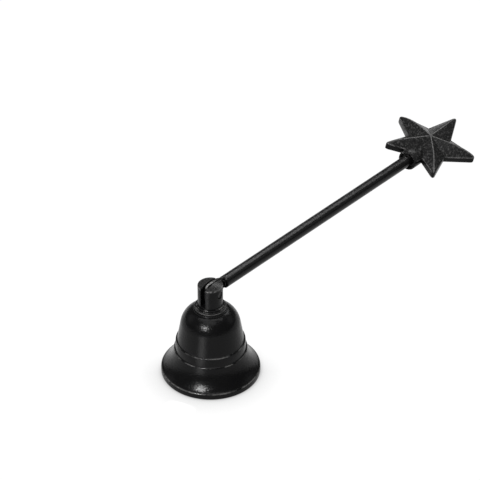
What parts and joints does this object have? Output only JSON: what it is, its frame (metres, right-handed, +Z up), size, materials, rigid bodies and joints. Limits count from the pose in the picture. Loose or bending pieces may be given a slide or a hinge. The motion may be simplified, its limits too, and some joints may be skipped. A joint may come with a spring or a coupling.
{
  "type": "candle snuffer",
  "caption": "Cast candle snuffer: a heavy bell standing on its mouth, with a hinged tubular handle that ends in a faceted star finial.",
  "frame": {"origin": "centre of the bell's mouth, on the plane that the rim stands on", "axes": "+Z up along the bell's axis, +X towards the star at the end of the handle"},
  "size_m": [0.1967, 0.04, 0.0431],
  "materials": {
    "bell_iron": "satin",
    "post_steel": "satin",
    "pin_steel": "satin",
    "fixing_steel": "satin",
    "tongue_steel": "satin",
    "tube_alloy": "satin",
    "star_alloy": "satin"
  },
  "bodies": {
    "bell": {"snuffer_bell": "bell_iron", "pivot_fork": "post_steel", "crown_washer": "fixing_steel", "crown_nut": "fixing_steel", "pivot_pin": "pin_steel"},
    "handle": {"handle_tongue": "tongue_steel", "handle_rod": "tube_alloy", "star_stud": "tube_alloy", "star_finial": "star_alloy"}
  },
  "joints": [
    {"name": "handle_pivot", "type": "hinge", "parent": "bell", "child": "handle", "pos_m": [0, 0, 0.0392], "axis": [0, -1, 0], "range_deg": [0, 206.9]}
  ]
}
